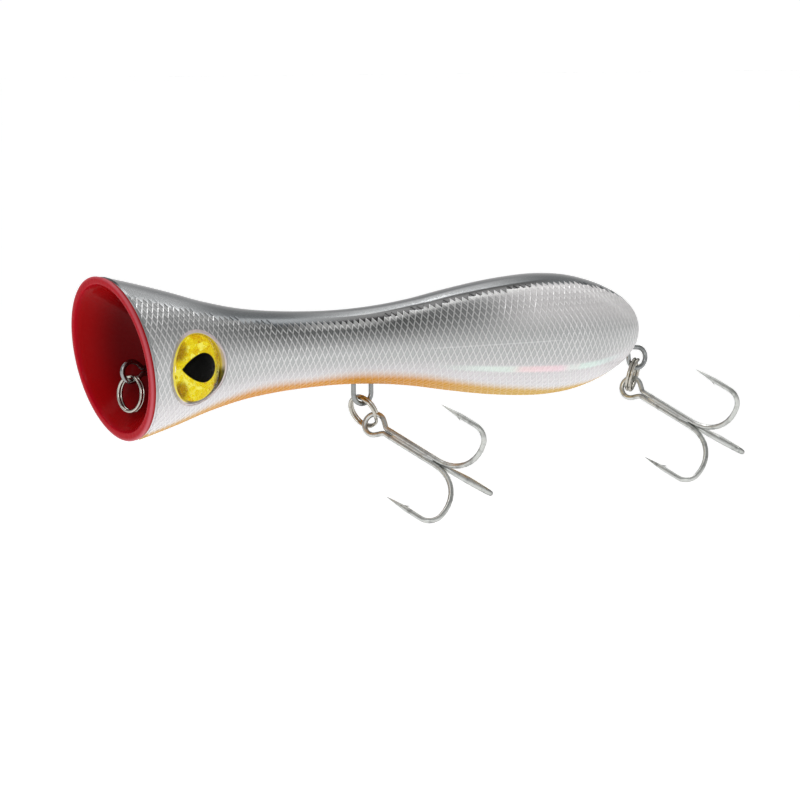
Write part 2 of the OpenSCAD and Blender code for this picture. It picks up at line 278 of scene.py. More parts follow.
class Term:
    """A value in a finish. Python's operators on it add the finish's Math nodes."""

    def __init__(self, finish, socket):
        self.finish, self.socket = finish, socket

    def math(self, operation, *others):
        node = self.finish.tree.nodes.new("ShaderNodeMath")
        node.operation = operation
        for socket, value in zip(node.inputs, (self, *others)):
            self.finish.feed(socket, value)
        return Term(self.finish, node.outputs[0])

    def __add__(self, other):
        return self.math("ADD", other)

    def __sub__(self, other):
        return self.math("SUBTRACT", other)

    def __rsub__(self, other):
        return (self * -1).math("ADD", other)

    def __mul__(self, other):
        return self.math("MULTIPLY", other)

    def __truediv__(self, other):
        return self.math("DIVIDE", other)

    def __pow__(self, other):
        return self.math("POWER", other)

    __radd__, __rmul__ = __add__, __mul__

    def size(self):
        return self.math("ABSOLUTE")

    def rise(self, low, high):
        """0 up to low, 1 from high, and smooth between; high may be below low."""
        node = self.finish.tree.nodes.new("ShaderNodeMapRange")
        node.interpolation_type = "SMOOTHSTEP"
        flip = high < low
        for name, value in (("Value", self), ("From Min", min(low, high)), ("From Max", max(low, high)),
                            ("To Min", float(flip)), ("To Max", float(not flip))):
            self.finish.feed(node.inputs[name], value)
        return Term(self.finish, node.outputs[0])


class Mixer:
    """Adds the nodes of one node tree, and gives each back as a Term."""

    def __init__(self, tree):
        self.tree = tree

    def feed(self, socket, value):
        if isinstance(value, Term):
            self.tree.links.new(value.socket, socket)
        elif isinstance(value, (tuple, list)) and len(value) == 3 and socket.type == "RGBA":
            socket.default_value = (*value, 1)
        else:
            socket.default_value = value

    def node(self, kind, settings=(), out=0, **inputs):
        node = self.tree.nodes.new("ShaderNode" + kind)
        for name, value in dict(settings).items():
            if name == "stops":
                ramp = node.color_ramp
                while len(ramp.elements) < len(value):
                    ramp.elements.new(0.5)
                for element, (place, colour) in zip(ramp.elements, value):
                    element.position = place
                    element.color = (*colour, 1) if isinstance(colour, tuple) else (colour,) * 3 + (1,)
            else:
                setattr(node, name, value)
        for name, value in inputs.items():
            self.feed(node.inputs[name.replace("_", " ")], value)
        return Term(self, node.outputs[out])

    def parts(self, vector):
        node = self.tree.nodes.new("ShaderNodeSeparateXYZ")
        self.feed(node.inputs[0], vector)
        return [Term(self, socket) for socket in node.outputs]

    def blend(self, part, low, high):
        node = self.tree.nodes.new("ShaderNodeMix")
        node.data_type = "RGBA"
        for socket, value in ((node.inputs[0], part), (node.inputs[6], low), (node.inputs[7], high)):
            self.feed(socket, value)
        return Term(self, node.outputs[2])


class Finish(Mixer):
    """A material with one Principled shader; the keywords are constants on its own sockets."""

    def __init__(self, name, **constants):
        self.material = bpy.data.materials.new(name)
        self.material.use_nodes = True
        super().__init__(self.material.node_tree)
        self.shader = self.tree.nodes["Principled BSDF"]
        for socket, value in constants.items():
            self.set(socket, value)

    def set(self, socket, value):
        self.feed(self.shader.inputs[socket.replace("_", " ")], value)

    def place(self):
        return self.node("TexCoord", out=3)

    def body_place(self):
        """Along, across and up in the body's own axes, in millimetres."""
        x, y, z = self.parts(self.place())
        return x * 1000 + 7, y * 1000, z * 1000 - 3.2

    def profile(self, along, points, longest, most):
        """A value that changes along the body, on straight stretches between the points."""
        stops = [(x / longest, y / most) for x, y in points if x >= 0]
        return self.node("ValToRGB", {"stops": stops}, Fac=along / longest) * most

    def noise(self, scale, detail):
        return self.node("TexNoise", Vector=self.place(), Scale=scale, Detail=detail)

    def bump(self, height, strength, distance):
        self.set("Normal", self.node("Bump", Height=height, Strength=strength, Distance=distance))

    def on(self, *pieces):
        for piece in pieces:
            piece.data.materials.clear()
            piece.data.materials.append(self.material)
        return self


# Half width of the orange belly, along the body
belly_edge = [
    (0, 12.8), (22, 12.6), (66, 8.7), (100, 9.5), (120, 10.5), (145, 11.4), (170, 11), (185, 7.4),
    (196, 0), (200, 0),
]
# The middle of the eye on the flank
EYE_ALONG = 19.5
EYE_UP = -1.3


def paint(name, netted):
    """Silver foil under a black back, a pearl flank and an orange belly, all under clear coat."""
    finish = Finish(name, Coat_Roughness=0.04, Coat_IOR=1.5)
    along, across, up = finish.body_place()
    side = across.size()
    rise = up.math("ARCTAN2", side) * (180 / math.pi)
    width = finish.profile(along, back_edge, BODY_LENGTH, 15)
    above = up.rise(-1, 1)
    if netted:
        back = finish.node("Attribute", {"attribute_name": "smooth_back"}, out=2)
    else:
        back = (side - width).rise(0.35, -0.35) * above
    orange = finish.profile(along, belly_edge, BODY_LENGTH, 16)
    belly = (side - orange).rise(1.4, -2.8) * (1 - above)
    # Painted shade darkens the foil towards the back, most at the neck. At the rear the upper flank has a
    # satin finish, lightened by a painted sheen.
    painted_shade_along = [(0, 0.3), (28, 0.55), (55, 0.95), (100, 1.0), (118, 0.7), (138, 0.2), (150, 0.06), (200, 0.04)]
    painted_shade = rise.rise(-4, 40) * finish.profile(along, painted_shade_along, BODY_LENGTH, 1.0)
    pearl = rise.rise(-12, -42)
    foil = finish.blend(pearl, (0.40, 0.41, 0.41), (0.60, 0.57, 0.59))
    # Satin finish at the rear top: less metal and coat, and a painted sheen lightening its colour
    satin_and_painted_sheen = rise.rise(4, 30) * along.rise(122, 150)
    foil = finish.blend(satin_and_painted_sheen * 0.9, foil, (0.74, 0.72, 0.72))
    foil = finish.blend(painted_shade * 0.92, foil, (0.035, 0.04, 0.038))
    if netted:
        ridge = finish.node("Attribute", {"attribute_name": "ridge"}, out=2)
        # Painted shade also darkens the ridge tops towards the back
        crest = finish.blend(painted_shade * 0.6, (0.70, 0.69, 0.69), (0.26, 0.27, 0.26))
        # Painted highlight: glints on the ridges and cells just below the black back
        glint = (side - width).rise(2.2, 0.6) * above * along.rise(52, 75) * along.rise(160, 140)
        crest = finish.blend(glint, crest, (0.95, 0.95, 0.94))
        foil = finish.blend(glint * 0.45, foil, (0.9, 0.9, 0.89))
        foil = finish.blend(ridge * 0.8, foil, crest)
    # Rainbow colours of the foil low on the rear flank, partly the foil's own shimmer and partly a painted
    # sheen
    painted_rainbow_sheen = rise.rise(-35, -31) * rise.rise(-24, -28) * along.rise(108, 135) * along.rise(190, 172)
    hue = finish.node(
        "ValToRGB",
        {"stops": [(0.0, (0.70, 0.86, 0.78)), (0.3, (0.74, 0.86, 0.78)), (0.45, (0.95, 0.66, 0.68)),
                   (0.62, (0.93, 0.66, 0.74)), (0.75, (0.70, 0.88, 0.80)), (1.0, (0.74, 0.86, 0.86))]},
        Fac=(along - 115) / 70 + finish.noise(160, 1) * 0.2 - 0.1,
    )
    foil = finish.blend(painted_rainbow_sheen * 0.6, foil, hue)
    # Faint line where the two stamping plates met
    seam = (up + 0.6 - (along - 133) * 0.012).size().rise(0.3, 0.1)
    seam = seam * along.rise(104, 112) * along.rise(162, 150)
    foil = finish.blend(seam * 0.35, foil, (0.80, 0.80, 0.80))
    orange_paint = finish.blend(along.rise(95, 150), (0.58, 0.24, 0.0), (0.58, 0.36, 0.06))
    orange_paint = finish.blend(along.rise(46, 20), orange_paint, (0.60, 0.34, 0.08))
    foil = finish.blend(belly, foil, orange_paint)
    # Painted reflections on the black back: pale stripes along it as a painted highlight, and a dark line
    # inside its lower edge
    line = (side - width).rise(-2.3, -1.6) * along.rise(60, 85) * along.rise(168, 148)
    across_back = side / width
    painted_highlight_stripe = across_back.rise(0.24, 0.48) * across_back.rise(0.86, 0.74)
    painted_highlight_stripe = painted_highlight_stripe * along.rise(52, 92) * along.rise(162, 132)
    painted_highlight_stripe = painted_highlight_stripe + across_back.rise(0.5, 0.8) * along.rise(40, 10)
    black = finish.blend(painted_highlight_stripe * 0.9, (0.13, 0.145, 0.155), (0.74, 0.76, 0.77))
    # A pale bare ring round the eye, with painted shade: darker on the nose side, and a thin black painted
    # shadow below and behind
    ahead = EYE_ALONG - along
    over = up - EYE_UP
    off_eye = (ahead**2 * 1.04 + over**2).math("SQRT")
    pocket = off_eye.rise(POCKET_R + 0.4, POCKET_R)
    around = finish.blend(ahead.rise(3, 9), (0.62, 0.54, 0.54), (0.30, 0.27, 0.22))
    painted_shadow_below = (ahead * -0.7 - over).rise(7.0, 9.5)
    around = finish.blend(painted_shadow_below * off_eye.rise(11.35, 11.05), around, (0.03, 0.03, 0.03))
    # Painted refraction: the pocket's wall behind the dome is painted the foil's gold, as the dome's lens
    # spreads the foil over it, turning dark brown below and behind as painted shade
    painted_refraction_gold = finish.blend(painted_shadow_below, (0.80, 0.64, 0.01), (0.10, 0.06, 0.0))
    around = finish.blend(off_eye.rise(10.95, 10.75), around, painted_refraction_gold)
    foil = finish.blend(pocket, foil, around)
    # Painted dark reflection: the line along the black back's lower edge
    black = finish.blend(line, black, (0.008, 0.008, 0.008))
    finish.set("Base_Color", finish.blend(back, foil, black))
    grain = finish.noise(900, 4)
    bright = (1 - pearl) * 0.5 * (1 - belly) * (1 - back) * (1 - pocket) * (1 - satin_and_painted_sheen * 0.8)
    finish.set("Metallic", bright + back * 0.7 * (1 - line) + 0.12)
    nose_top = along.rise(60, 30) * rise.rise(10, 24) * (1 - back)
    dulled = belly * 0.95 + nose_top * 0.7 + satin_and_painted_sheen * (1 - back) * (1 - belly) * 0.6
    finish.set("Coat_Weight", 1 - dulled)
    finish.set("Roughness", 0.34 + grain * 0.12 - back * 0.16)
    finish.bump(finish.noise(1500, 3), 0.06, 0.0002)
    return finish


shells = [bpy.data.objects[f"body_shell_{side}"] for side in ("left", "right")]
paint("painted_net", netted=True).on(skin, right)
paint("painted_shell", netted=False).on(*shells)

# ---- Mouth cup ----
# A separate moulding in gloss red, glued into the front of the shells: a wide lip that
# covers their edges and a round bowl that throws the water.
CUP_AXES = Matrix.Rotation(-MOUTH_LEAN, 4, "Y")
RIM_LIFT = 1.15
bowl_line = [(0, 23.4), (3, 21.3), (6, 18.9), (9, 16.1), (12, 12.6), (14.6, 8.4), (16.2, 4), (16.6, 0)]
LIP_ROUND = 0.55
bowl = smooth_line(bowl_line, 4)
lean_turn = CUP_AXES.to_3x3()


def lip_edge(angle, depth, inset=0.0):
    """Where the body's outline meets a plane behind the mouth, seen from the bowl's middle."""
    low, high = 15.0, 40.0
    for _ in range(40):
        reach = (low + high) / 2
        p = lean_turn @ Vector((depth, reach * math.cos(angle), RIM_LIFT + reach * math.sin(angle)))
        if math.hypot(p.y, p.z) < between(height_at, p.x):
            low = reach
        else:
            high = reach
    return low - inset


CUP_SIDES = 128
CUP_WALL = 1.2
# Depth and what the radius hangs on, from the joint with the shells over the lip into the bowl
lip_profile = [("lip", LIP_DEPTH, 0.0), ("lip", 1.05, 0.0)]
for step in range(5):
    turn = math.radians(90 * step / 4)
    lip_profile.append(("lip", LIP_ROUND * (1 - math.sin(turn)), LIP_ROUND * (1 - math.cos(turn))))
for step in range(5):
    turn = math.radians(90 * step / 4)
    lip_profile.append(("bowl", LIP_ROUND * (1 - math.cos(turn)), LIP_ROUND * (1 - math.sin(turn))))
start_piece()
bpy.ops.mesh.primitive_circle_add(vertices=CUP_SIDES, radius=1, fill_type="NOTHING")
cup = bpy.context.object
cup.name = "red_mouth_cup"
rings = [("lip", depth, inset) if kind == "lip" else ("round", depth, bowl_line[0][1] + inset)
         for kind, depth, inset in lip_profile]
rings += [("round", p.x, p.y) for p in bowl[2:-1]]
edit_mode()
bpy.ops.mesh.select_all(action="SELECT")
for _ in rings[1:]:
    bpy.ops.mesh.extrude_edges_move(TRANSFORM_OT_translate={"value": (0, 0, 1)})
bpy.ops.mesh.edge_face_add()
bpy.ops.mesh.poke()
edit_mode(False)
for vertex in cup.data.vertices:
    ring = rings[min(round(vertex.co.z), len(rings) - 1)]
    angle = math.atan2(vertex.co.y, vertex.co.x)
    if math.hypot(vertex.co.x, vertex.co.y) < 0.5:
        vertex.co = (bowl_line[-1][0], 0, RIM_LIFT)
        continue
    reach = lip_edge(angle, ring[1], ring[2]) if ring[0] == "lip" else ring[2]
    vertex.co = (ring[1], reach * math.cos(angle), RIM_LIFT + reach * math.sin(angle))
cup.data.transform(CUP_AXES)
edit_mode()
bpy.ops.mesh.select_all(action="SELECT")
bpy.ops.mesh.normals_make_consistent(inside=False)
edit_mode(False)
probe = min(cup.data.polygons, key=lambda f: (f.center - Vector((16.6, 0, 0))).length)
if probe.normal.x > 0:
    cup.data.flip_normals()
apply_modifier(cup, "SOLIDIFY", thickness=CUP_WALL, offset=-1, use_even_offset=True)
cup.data.transform(BODY_TO_ROW)
smooth(cup, 50)
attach(cup, "lure_body")
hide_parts("mouth_cup")

red = Finish("gloss_red", Coat_Weight=0.08, Coat_Roughness=0.02, Coat_IOR=1.3, Specular_IOR_Level=0.02)
along, across, up = red.body_place()
reach = (across * across + (up - RIM_LIFT) ** 2).math("SQRT")
depth = along * math.cos(MOUTH_LEAN) + up * math.sin(MOUTH_LEAN)
lip = depth.rise(1.5, 0.2)
# Painted shade: the red darkens deeper into the bowl
bowl_red_painted_shade = red.blend(depth.rise(1, 12), (0.30, 0.002, 0.003), (0.10, 0.0002, 0.001))
colour = red.blend(lip, bowl_red_painted_shade, (0.40, 0.002, 0.010))
worn = reach.rise(24.6, 26.2) * lip
colour = red.blend(worn * 0.4, colour, (0.80, 0.34, 0.40))
red.set("Base_Color", colour)
red.set("Roughness", 0.22 + red.noise(700, 3) * 0.1)
red.bump(red.noise(220, 2), 0.05, 0.0008)
red.on(cup)

# ---- Through wire ----
# One stainless wire, bent into the line tie, the belly hanger and the tail eye, with its
# two tails laid back along itself inside the body.
WIRE_R = 0.8
# Half the distance between a tail of the wire and the run that it lies back along
LEG_PITCH = 0.86


class Bender:
    """Bends a wire as on a bench: a ring of points is pushed straight on, or spun round a former."""

    def __init__(self, name, start, heading, lies_on, radius, sides=16):
        self.at, self.heading, self.up = Vector(start), Vector(heading), Vector(lies_on)
        self.radius = radius
        start_piece()
        bpy.ops.mesh.primitive_circle_add(vertices=sides, radius=radius, fill_type="NOTHING")
        self.wire = bpy.context.object
        self.wire.name = name
        across = self.up.cross(self.heading)
        frame_of_ring = Matrix((across, self.up, self.heading)).transposed().to_4x4()
        self.wire.data.transform(Matrix.Translation(self.at) @ frame_of_ring)
        edit_mode()
        bpy.ops.mesh.select_all(action="SELECT")

    def push(self, length, end_radius=None):
        step = self.heading * length
        bpy.ops.mesh.extrude_edges_move(TRANSFORM_OT_translate={"value": step})
        self.at = self.at + step
        if end_radius:
            share = end_radius / self.radius
            bpy.ops.transform.resize(value=(share, share, share), center_override=self.at)
            self.radius = end_radius

    def bend(self, former, degrees):
        """Left is positive, seen against the way the wire's plane faces."""
        hand = 1 if degrees > 0 else -1
        middle = self.at + self.up.cross(self.heading) * former * hand
        steps = max(2, round(abs(degrees) / 9))
        bpy.ops.mesh.spin(steps=steps, angle=-math.radians(degrees), center=middle, axis=self.up)
        turn = Matrix.Rotation(math.radians(degrees), 3, self.up)
        self.at = middle + turn @ (self.at - middle)
        self.heading = turn @ self.heading

    def roll(self, degrees):
        self.up = Matrix.Rotation(math.radians(degrees), 3, self.heading) @ self.up

    def follow(self, steps):
        for kind, *sizes in steps:
            getattr(self, kind)(*sizes)

    def done(self, open_start=False):
        bpy.ops.mesh.edge_face_add()
        if not open_start:
            pick("edges", lambda edge: edge.is_boundary)
            bpy.ops.mesh.edge_face_add()
        bpy.ops.mesh.select_all(action="SELECT")
        bpy.ops.mesh.normals_make_consistent(inside=False)
        edit_mode(False)
        return self.wire


EYE_FLARE = 40
FLARE_FORMER = 1.6


def eye_side(former, offset):
    """Length of the straight side between an eye's throat and its round, for a leg off the middle."""
    flare = math.radians(EYE_FLARE)
    return (former * math.cos(flare) - offset - FLARE_FORMER * (1 - math.cos(flare))) / math.sin(flare)


def eye_reach(former, offset):
    """How far the middle of an eye's round lies past the start of its throat."""
    flare = math.radians(EYE_FLARE)
    return (FLARE_FORMER + former) * math.sin(flare) + eye_side(former, offset) * math.cos(flare)


def eye_bends(former, offset):
    side = eye_side(former, offset)
    return [("bend", FLARE_FORMER, EYE_FLARE), ("push", side), ("bend", former, -180 - 2 * EYE_FLARE),
            ("push", side), ("bend", FLARE_FORMER, EYE_FLARE)]


tie_r = 3.1
tie_x = 7
tail_eye_r = 3.6
tail_eye_x, tail_eye_z = 202.6, -10.7
tail_lean = math.radians(45)
corner = 2.5
leg_front, leg_rear = 87.6, 94.3
hanger_drop = 19
wire_z = -3.2 + LEG_PITCH
front = tie_x + eye_reach(tie_r, LEG_PITCH)
hanger_r = (leg_rear - leg_front) / 2
leg = hanger_drop + wire_z - corner - hanger_r
drop = wire_z - tail_eye_z
corner_x = tail_eye_x + (LEG_PITCH - drop * math.cos(tail_lean)) / math.sin(tail_lean)
set_back = corner * math.tan(tail_lean / 2)
to_tail_eye = (tail_eye_x - corner_x) * math.cos(tail_lean) + drop * math.sin(tail_lean)
to_tail_eye -= set_back + eye_reach(tail_eye_r, LEG_PITCH)
wire_start = (front + 12, 0, wire_z - 2 * LEG_PITCH)
wire = Bender("through_wire_bent", wire_start, (-1, 0, 0), (0, -1, 0), WIRE_R, 20)
wire.follow([("push", 12), *eye_bends(tie_r, LEG_PITCH), ("push", leg_front - corner - front)])
wire.follow([("bend", corner, -90), ("push", leg), ("bend", hanger_r, 180), ("push", leg)])
wire.follow([("bend", corner, -90), ("push", corner_x - set_back - leg_rear - corner)])
wire.follow([("bend", corner, -45), ("push", to_tail_eye), *eye_bends(tail_eye_r, LEG_PITCH), ("push", 4)])
wire = wire.done()
wire.data.transform(BODY_TO_ROW)
smooth(wire, 50)
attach(wire, "lure_body")
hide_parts("through_wire")


def bare_metal(name, colour, dull, streaks, bump):
    """Drawn or plated metal: darker handling marks, and draw lines too fine to see singly."""
    finish = Finish(name, Metallic=1.0, Specular_Tint=(0.35, 0.35, 0.35))
    marks = finish.noise(420, 4)
    fine = finish.noise(2600, 2)
    worn = marks.rise(0.50, 0.72)
    finish.set("Base_Color", finish.blend(worn * streaks, colour, tuple(c * 0.4 for c in colour)))
    finish.set("Roughness", dull + fine * 0.14 + worn * 0.12)
    finish.bump(marks * 0.6 + fine * 0.4, bump, 0.0003)
    return finish


bare_metal("bright_wire", (0.29, 0.30, 0.30), 0.12, 0.6, 0.1).on(wire)

# ---- Split rings ----
# Hard nickel-plated wire wound two turns: the ends lie either side of the short step
# where one turn crosses to the other.
RING_R = 5.45
COIL_R = 0.53
# Degrees round the coil: where it crosses over, and how far short of the step its ends stop
STEP_FROM, STEP_TO = 338, 384
END_GAP = 3
# Each ring's body, its middle, the heading and lift of its axis, and where its ends lie
ring_places = {
    "nose_split_ring": ("nose_ring", (6.8, 0, -10.15), (193, 5), 200),
    "belly_split_ring": ("belly_ring", (92.28, 1.4, -21.75), (193, -23.9), 60),
    "tail_split_ring": ("tail_ring", (201.26, 0.48, -16.52), (-49.6, -12.9), 150),
}
coils = []
for node, (body, middle, (heading, lift), clock) in ring_places.items():
    path = []
    for degrees in range(STEP_TO - 360 + END_GAP, STEP_FROM + 360 - END_GAP + 1, 4):
        crossed = min(1.0, max(0.0, (degrees - STEP_FROM) / (STEP_TO - STEP_FROM)))
        crossed = crossed * crossed * (3 - 2 * crossed)
        turn = math.radians(degrees)
        path.append((RING_R * math.cos(turn), RING_R * math.sin(turn), COIL_R * (2 * crossed - 1)))
    data = bpy.data.curves.new(node, "CURVE")
    data.dimensions = "3D"
    data.bevel_depth, data.bevel_resolution, data.use_fill_caps = COIL_R, 4, True
    thread = data.splines.new("POLY")
    thread.points.add(len(path) - 1)
    for point, co in zip(thread.points, path):
        point.co = (*co, 1)
    coil = bpy.data.objects.new(node.replace("split_ring", "ring_coil"), data)
    bpy.context.collection.objects.link(coil)
    select_only(coil)
    bpy.ops.object.convert(target="MESH")
    coil = bpy.context.object
    edit_mode()
    bpy.ops.mesh.select_all(action="SELECT")
    bpy.ops.mesh.remove_doubles(threshold=0.001)
    bpy.ops.mesh.normals_make_consistent(inside=False)
    edit_mode(False)
    lay = Matrix.Translation(middle)
    for degrees, axis in ((heading, "Z"), (90 - lift, "Y"), (clock, "Z")):
        lay = lay @ Matrix.Rotation(math.radians(degrees), 4, axis)
    coil.data.transform(BODY_TO_ROW @ lay)
    smooth(coil, 50)
    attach(coil, body)
    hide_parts(node)
    coils.append(coil)
bare_metal("nickel_plate", (0.50, 0.48, 0.43), 0.12, 0.4, 0.06).on(*coils)

# ---- Treble hooks ----
# Two wires of tinned steel: one bent into the eye and a pair of hooks, the other into the
# third hook, and the three shanks brazed together. The points taper and carry a cut barb.
HOOK_R = 0.86
BUNDLE_R = 1.02
HOOK_EYE_R = 3.5
SHANK = 26.3
WIDE = 14.3
TIGHT = 4.5
POINT = 14.4
TAPER = 8.0
SINGLE_START = 7.4
BARB_FROM_TIP = 7.35
BARB_SINK = 0.85
BRAZE_LENGTH = 17
pair_y = BUNDLE_R * math.sin(math.radians(60))
pair_z = BUNDLE_R * math.cos(math.radians(60))
point_bends = [("bend", WIDE, 90), ("bend", TIGHT, 90), ("push", POINT - TAPER),
               ("push", TAPER * 0.45, 0.56), ("push", TAPER * 0.35, 0.27), ("push", TAPER * 0.2, 0.06)]


def add_barb(hook, angle):
    """A sliver raised from the inside of the point, leaning back towards the bend."""
    start_piece()
    bpy.ops.mesh.primitive_cone_add(vertices=10, radius1=0.62, radius2=0.03, depth=3.0)
    barb = bpy.context.object
    edit_mode()
    bpy.ops.mesh.select_all(action="SELECT")
    bpy.ops.transform.resize(value=(1, 0.6, 1), center_override=(0, 0, 0))
    edit_mode(False)
    tip = SHANK + WIDE - TIGHT - POINT
    spot = (tip + BARB_FROM_TIP, BUNDLE_R + WIDE + TIGHT - BARB_SINK, 0)
    lay = Matrix.Rotation(math.radians(angle), 4, "X") @ Matrix.Translation(spot)
    lay = lay @ Matrix.Rotation(math.radians(-34), 4, "Z") @ Matrix.Rotation(math.radians(90), 4, "Y")
    barb.data.transform(lay)
    select_only(hook)
    apply_modifier(hook, "BOOLEAN", operation="UNION", object=barb, solver="EXACT")
    bpy.data.objects.remove(barb)


pair = Bender("double_hook_bent", (-HOOK_EYE_R, 0, pair_z), (0, 1, 0), (0, 0, 1), HOOK_R)
pair.follow([("bend", HOOK_EYE_R, -90 - EYE_FLARE), ("push", eye_side(HOOK_EYE_R, pair_y))])
pair.follow([("bend", FLARE_FORMER, EYE_FLARE), ("roll", 30)])
pair.follow([("push", SHANK - eye_reach(HOOK_EYE_R, pair_y)), *point_bends])
pair = pair.done(open_start=True)
select_only(pair)
apply_modifier(pair, "MIRROR", use_axis=(False, True, False), merge_threshold=0.001)
edit_mode()
bpy.ops.mesh.select_all(action="SELECT")
bpy.ops.mesh.normals_make_consistent(inside=False)
edit_mode(False)
for angle in (30, 150):
    add_barb(pair, angle)

single = Bender("single_hook_bent", (SINGLE_START, BUNDLE_R, 0), (1, 0, 0), (0, 0, 1), HOOK_R)
single.follow([("push", SHANK - SINGLE_START), *point_bends])
single = single.done()
add_barb(single, 0)
single.data.transform(Matrix.Rotation(math.radians(-90), 4, "X"))

# Braze drawn into the grooves between the shanks, thick at the eye and lumpy along its length
start_piece()
bpy.ops.mesh.primitive_cylinder_add(vertices=36, radius=1.3, depth=BRAZE_LENGTH)
braze = bpy.context.object
braze.name = "shank_braze"
along_shanks = Matrix.Translation((SINGLE_START + 9, 0, 0)) @ Matrix.Rotation(math.radians(90), 4, "Y")
braze.data.transform(along_shanks)
edit_mode()
pick("edges", lambda edge: abs(edge.verts[0].co.x - edge.verts[1].co.x) > 10)
bpy.ops.mesh.subdivide(number_cuts=20)
edit_mode(False)
for vertex in braze.data.vertices:
    x = vertex.co.x - SINGLE_START
    fade = min(1.0, (x + 0.2) / 2.2, (17.6 - x) / 3.5)
    lump = 1 + 0.045 * math.sin(x * 2.1) * math.sin(x * 0.7 + 1) + 0.02 * math.sin(x * 5.3)
    share = (0.55 + 0.45 * math.sqrt(max(fade, 0.0))) * lump
    vertex.co.y *= share
    vertex.co.z *= share

# Each treble's eye, and its roll, pitch and yaw
hook_places = {
    "belly": ((94.89, -1.48, -26.07), (70, 24.4, -66)),
    "tail": ((199.1, -1.85, -20.83), (72.5, 24.7, -68.4)),
}
hooks = []
brazes = []
treble_parts = ((pair, "double_hook", hooks), (single, "single_hook", hooks), (braze, "hook_braze", brazes))
for place, (middle, (roll, pitch, yaw)) in hook_places.items():
    lay = Matrix.Translation(middle)
    for degrees, axis in ((yaw, "Z"), (pitch, "Y"), (roll, "X")):
        lay = lay @ Matrix.Rotation(math.radians(degrees), 4, axis)
    for model, node, kept in treble_parts:
        piece = model.copy()
        piece.data = model.data.copy()
        piece.name = f"{place}_{model.name}"
        bpy.context.collection.objects.link(piece)
        piece.data.transform(BODY_TO_ROW @ lay)
        smooth(piece, 45)
        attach(piece, f"{place}_treble")
        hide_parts(f"{place}_{node}")
        kept.append(piece)
for model in (pair, single, braze):
    bpy.data.objects.remove(model)
bare_metal("tinned_wire", (0.54, 0.55, 0.53), 0.22, 0.7, 0.14).on(*hooks)
bare_metal("braze_metal", (0.66, 0.67, 0.66), 0.3, 0.5, 0.3).on(*brazes)

# ---- Eyes ----
# A gold holographic foil disc with a printed black pupil, under a dome of clear resin,
# set in a round pocket on each side of the head.
EYE_R = 10.3
SEAT = 17.4
FOIL_T = 0.5
DOME_EDGE = 1.0
DOME_RISE = 3.0
ball = (EYE_R**2 + DOME_RISE**2) / (2 * DOME_RISE)
start_piece()
bpy.ops.mesh.primitive_uv_sphere_add(segments=72, ring_count=120, radius=ball)
dome = bpy.context.object
dome.name = "eye_resin"
dome.data.transform(Matrix.Translation((0, 0, DOME_EDGE + DOME_RISE - ball)))
edit_mode()
bpy.ops.mesh.select_all(action="SELECT")
bpy.ops.mesh.bisect(plane_co=(0, 0, DOME_EDGE), plane_no=(0, 0, 1), clear_inner=True, threshold=0.0001)
pick("edges", lambda edge: edge.is_boundary)
bpy.ops.mesh.extrude_edges_move(TRANSFORM_OT_translate={"value": (0, 0, -DOME_EDGE)})
bpy.ops.mesh.edge_face_add()
bpy.ops.mesh.select_all(action="SELECT")
bpy.ops.mesh.normals_make_consistent(inside=False)
edit_mode(False)

PUPIL_R = 4.6
PUPIL_TIP = -4.8
pupil_middle = Vector((3.9, -0.2))
start_piece()
bpy.ops.mesh.primitive_circle_add(vertices=96, radius=PUPIL_R, fill_type="NGON")
pupil = bpy.context.object
pupil.name = "pupil_print"
tip = (pupil_middle.x - PUPIL_TIP) / PUPIL_R
for vertex in pupil.data.vertices:
    x, y = vertex.co.x / PUPIL_R, vertex.co.y / PUPIL_R
    # The nose side is drawn out to a point, its sides a little full
    if x < 0:
        lift = abs(y)
        x = -tip * (0.55 * (1 - lift) ** 0.9 + 0.45 * math.sqrt(max(0.0, 1 - lift * lift)))
    vertex.co.x = pupil_middle.x + x * PUPIL_R
    vertex.co.y = pupil_middle.y + y * PUPIL_R
edit_mode()
bpy.ops.mesh.select_all(action="SELECT")
bpy.ops.mesh.extrude_region_move(TRANSFORM_OT_translate={"value": (0, 0, 0.06)})
bpy.ops.mesh.select_all(action="SELECT")
bpy.ops.mesh.normals_make_consistent(inside=False)
edit_mode(False)

domes = []
pupils = []
for side, mirror in (("left", Matrix()), ("right", Matrix.Diagonal((1, -1, 1, 1)))):
    for model, level, kept in ((dome, SEAT + FOIL_T + 0.07, domes), (pupil, SEAT + FOIL_T, pupils)):
        piece = model.copy()
        piece.data = model.data.copy()
        piece.name = f"{model.name}_{side}"
        bpy.context.collection.objects.link(piece)
        piece.data.transform(BODY_TO_ROW @ mirror @ EYE_AXES @ Matrix.Translation((0, 0, level)))
        if side == "right":
            piece.data.flip_normals()
        smooth(piece, 40)
        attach(piece, "lure_body")
        kept.append(piece)
    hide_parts(f"eye_dome_{side}")
for model in (dome, pupil):
    bpy.data.objects.remove(model)

